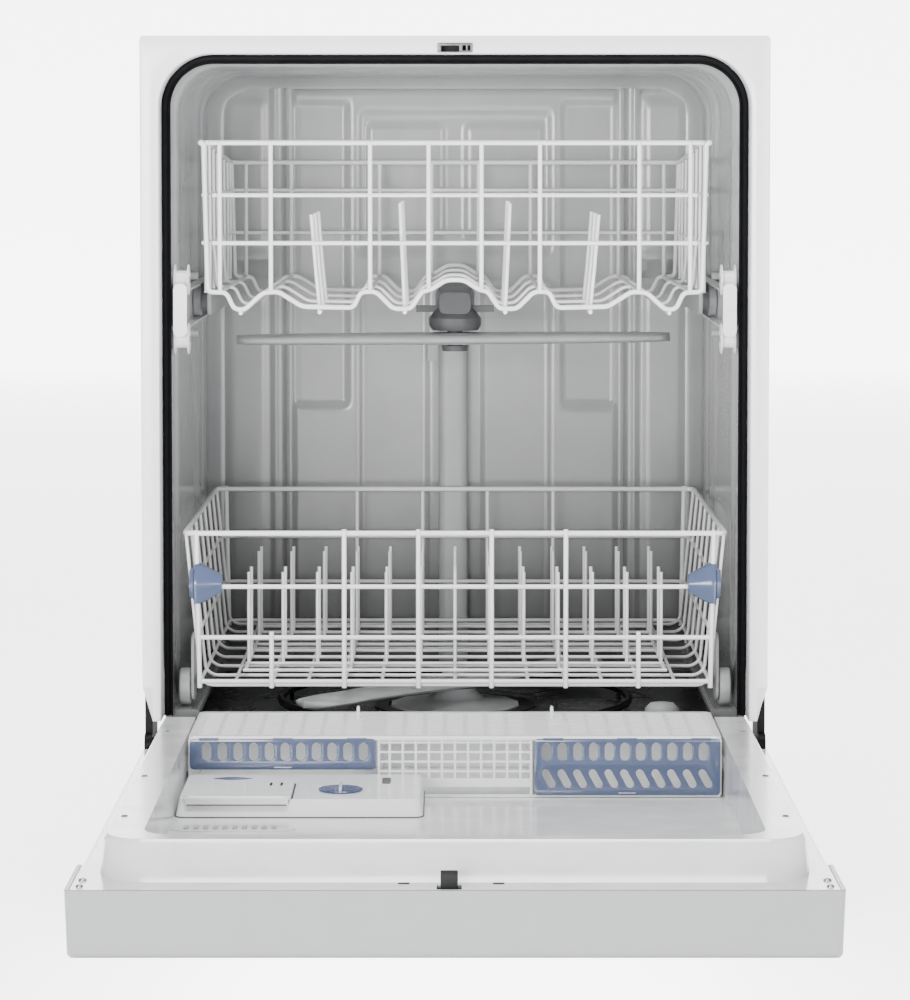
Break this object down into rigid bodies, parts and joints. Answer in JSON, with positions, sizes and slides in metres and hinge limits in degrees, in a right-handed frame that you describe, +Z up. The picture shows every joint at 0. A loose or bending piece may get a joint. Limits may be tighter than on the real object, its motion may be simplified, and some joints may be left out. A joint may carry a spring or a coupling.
{
  "type": "built in dishwasher",
  "caption": "Built-in dishwasher with its drop-down door open, sliding wire racks, spray arms, cutlery basket and detergent dispenser.",
  "frame": {"origin": "bottom centre of the object as it stands with its door open", "axes": "+X to the right seen from the front, +Y into the cabinet, +Z up; the open door lies towards -Y"},
  "size_m": [0.606, 1.24, 0.86],
  "materials": {
    "tub_plastic": "semi-gloss",
    "white_plastic": "gloss",
    "white_enamel": "gloss",
    "console_plastic": "satin",
    "rack_coating": "gloss",
    "grey_plastic": "satin",
    "dark_plastic": "satin",
    "seal_rubber": "matte",
    "steel": "satin",
    "black_steel": "satin",
    "motor_housing": "matte",
    "blue_plastic": "gloss",
    "navy_plastic": "gloss",
    "felt": "matte"
  },
  "bodies": {
    "cabinet": {"tub": "tub_plastic", "tub_gasket": "seal_rubber", "strike_plate": "steel", "base_frame": "black_steel", "leg_front_right": "grey_plastic", "leg_front_left": "grey_plastic", "leg_back_right": "grey_plastic", "leg_back_left": "grey_plastic", "access_panel": "white_enamel", "sound_blanket": "felt", "sump": "dark_plastic", "sump_filter": "grey_plastic", "wash_motor": "motor_housing", "drain_pump": "dark_plastic", "inlet_valve": "white_plastic", "fill_hose": "seal_rubber", "junction_box": "grey_plastic", "heating_element": "black_steel", "feed_tube": "grey_plastic", "door_spring_right": "steel", "door_spring_left": "steel"},
    "door": {"door_outer_panel": "white_enamel", "console": "console_plastic", "door_liner": "white_plastic", "dispenser_body": "white_plastic", "cutlery_basket": "white_plastic", "hinge_arm_right": "black_steel", "hinge_arm_left": "black_steel"},
    "latch": {"door_latch": "dark_plastic"},
    "cycle_button": {"cycle_button": "grey_plastic"},
    "start_button": {"start_button": "grey_plastic"},
    "dispenser_lid": {"dispenser_lid": "white_plastic"},
    "rinse_cap": {"rinse_cap": "navy_plastic"},
    "basket_lid_right": {"basket_lid_right": "blue_plastic"},
    "basket_lid_left": {"basket_lid_left": "blue_plastic"},
    "upper_rails": {"upper_rail_right": "white_plastic", "upper_rail_left": "white_plastic"},
    "upper_rack": {"upper_rack_basket": "rack_coating", "upper_rack_carrier_right": "grey_plastic", "upper_rack_carrier_left": "grey_plastic", "spray_manifold": "dark_plastic"},
    "mid_spray_arm": {"mid_spray_arm": "grey_plastic"},
    "lower_rack": {"lower_rack_basket": "rack_coating", "lower_rack_tines": "rack_coating", "corner_clip_right": "blue_plastic", "corner_clip_left": "blue_plastic", "wheel_carrier_front_right": "grey_plastic", "wheel_carrier_front_left": "grey_plastic", "wheel_carrier_back_right": "grey_plastic", "wheel_carrier_back_left": "grey_plastic"},
    "lower_spray_arm": {"lower_spray_arm": "grey_plastic"},
    "float": {"float": "grey_plastic"},
    "rack_wheel_front_right": {"rack_wheel_front_right": "white_plastic"},
    "rack_wheel_front_left": {"rack_wheel_front_left": "white_plastic"},
    "rack_wheel_back_right": {"rack_wheel_back_right": "white_plastic"},
    "rack_wheel_back_left": {"rack_wheel_back_left": "white_plastic"},
    "track_wheel_upper_right": {"track_wheel_upper_right": "white_plastic"},
    "track_wheel_upper_left": {"track_wheel_upper_left": "white_plastic"},
    "track_wheel_lower_right": {"track_wheel_lower_right": "white_plastic"},
    "track_wheel_lower_left": {"track_wheel_lower_left": "white_plastic"}
  },
  "joints": [
    {"name": "door_hinge", "type": "hinge", "parent": "cabinet", "child": "door", "pos_m": [0, 0.06, 0.182], "axis": [1, 0, 0], "range_deg": [-90, 0]},
    {"name": "upper_rail_slide", "type": "slide", "parent": "cabinet", "child": "upper_rails", "axis": [0, -1, 0], "range_m": [0, 0.2]},
    {"name": "upper_rack_slide", "type": "slide", "parent": "upper_rails", "child": "upper_rack", "axis": [0, -1, 0], "range_m": [0, 0.2]},
    {"name": "lower_rack_slide", "type": "slide", "parent": "cabinet", "child": "lower_rack", "axis": [0, -1, 0], "range_m": [0, 0.45]},
    {"name": "mid_spray_arm_spin", "type": "hinge", "parent": "upper_rack", "child": "mid_spray_arm", "pos_m": [0, 0.335, 0.558], "axis": [0, 0, 1], "continuous": true},
    {"name": "lower_spray_arm_spin", "type": "hinge", "parent": "cabinet", "child": "lower_spray_arm", "pos_m": [0, 0.34, 0.202], "axis": [0, 0, 1], "continuous": true},
    {"name": "float_lift", "type": "slide", "parent": "cabinet", "child": "float", "axis": [0, 0, 1], "range_m": [0, 0.01]},
    {"name": "dispenser_lid_hinge", "type": "hinge", "parent": "door", "child": "dispenser_lid", "pos_m": [-0.192, -0.1555, 0.184], "axis": [1, 0, 0], "range_deg": [-90, 0]},
    {"name": "rinse_cap_turn", "type": "hinge", "parent": "door", "child": "rinse_cap", "pos_m": [-0.102, -0.186, 0.183], "axis": [0, 0, 1], "range_deg": [0, 90]},
    {"name": "basket_lid_right_hinge", "type": "hinge", "parent": "door", "child": "basket_lid_right", "pos_m": [0.158, -0.0914, 0.2114], "axis": [1, 0, 0], "range_deg": [-95, 0]},
    {"name": "basket_lid_left_hinge", "type": "hinge", "parent": "door", "child": "basket_lid_left", "pos_m": [-0.158, -0.0914, 0.2114], "axis": [1, 0, 0], "range_deg": [-95, 0]},
    {"name": "latch_pivot", "type": "hinge", "parent": "door", "child": "latch", "pos_m": [-0.0045, -0.6055, 0.17], "axis": [1, 0, 0], "range_deg": [0, 10], "stiffness_Nm_per_rad": 0.05, "springref_deg": -5.73},
    {"name": "cycle_button_press", "type": "slide", "parent": "door", "child": "cycle_button", "axis": [0, 0, 1], "range_m": [0, 0.002], "stiffness_N_per_m": 300, "springref_m": -0.001},
    {"name": "start_button_press", "type": "slide", "parent": "door", "child": "start_button", "axis": [0, 0, 1], "range_m": [0, 0.002], "stiffness_N_per_m": 300, "springref_m": -0.001},
    {"name": "track_wheel_upper_right_roll", "type": "hinge", "parent": "cabinet", "child": "track_wheel_upper_right", "pos_m": [0.2646, 0.116, 0.626], "axis": [1, 0, 0], "range_deg": [-1300, 0]},
    {"name": "track_wheel_upper_left_roll", "type": "hinge", "parent": "cabinet", "child": "track_wheel_upper_left", "pos_m": [-0.2646, 0.116, 0.626], "axis": [1, 0, 0], "range_deg": [-1300, 0]},
    {"name": "track_wheel_lower_right_roll", "type": "hinge", "parent": "cabinet", "child": "track_wheel_lower_right", "pos_m": [0.2646, 0.116, 0.569], "axis": [1, 0, 0], "range_deg": [0, 1300]},
    {"name": "track_wheel_lower_left_roll", "type": "hinge", "parent": "cabinet", "child": "track_wheel_lower_left", "pos_m": [-0.2646, 0.116, 0.569], "axis": [1, 0, 0], "range_deg": [0, 1300]},
    {"name": "rack_wheel_front_right_roll", "type": "hinge", "parent": "lower_rack", "child": "rack_wheel_front_right", "pos_m": [0.2638, 0.135, 0.2272], "axis": [1, 0, 0], "range_deg": [0, 1450]},
    {"name": "rack_wheel_front_left_roll", "type": "hinge", "parent": "lower_rack", "child": "rack_wheel_front_left", "pos_m": [-0.2638, 0.135, 0.2272], "axis": [1, 0, 0], "range_deg": [0, 1450]},
    {"name": "rack_wheel_back_right_roll", "type": "hinge", "parent": "lower_rack", "child": "rack_wheel_back_right", "pos_m": [0.2638, 0.515, 0.2272], "axis": [1, 0, 0], "range_deg": [0, 1450]},
    {"name": "rack_wheel_back_left_roll", "type": "hinge", "parent": "lower_rack", "child": "rack_wheel_back_left", "pos_m": [-0.2638, 0.515, 0.2272], "axis": [1, 0, 0], "range_deg": [0, 1450]}
  ],
  "couplings": [
    {"joint": "upper_rail_slide", "follows": "upper_rack_slide", "ratio": 1},
    {"joint": "track_wheel_upper_right_roll", "follows": "upper_rack_slide", "rad_per_m": -111.11},
    {"joint": "track_wheel_upper_left_roll", "follows": "upper_rack_slide", "rad_per_m": -111.11},
    {"joint": "track_wheel_lower_right_roll", "follows": "upper_rack_slide", "rad_per_m": 111.11},
    {"joint": "track_wheel_lower_left_roll", "follows": "upper_rack_slide", "rad_per_m": 111.11},
    {"joint": "rack_wheel_front_right_roll", "follows": "lower_rack_slide", "rad_per_m": 55.556},
    {"joint": "rack_wheel_front_left_roll", "follows": "lower_rack_slide", "rad_per_m": 55.556},
    {"joint": "rack_wheel_back_right_roll", "follows": "lower_rack_slide", "rad_per_m": 55.556},
    {"joint": "rack_wheel_back_left_roll", "follows": "lower_rack_slide", "rad_per_m": 55.556}
  ]
}
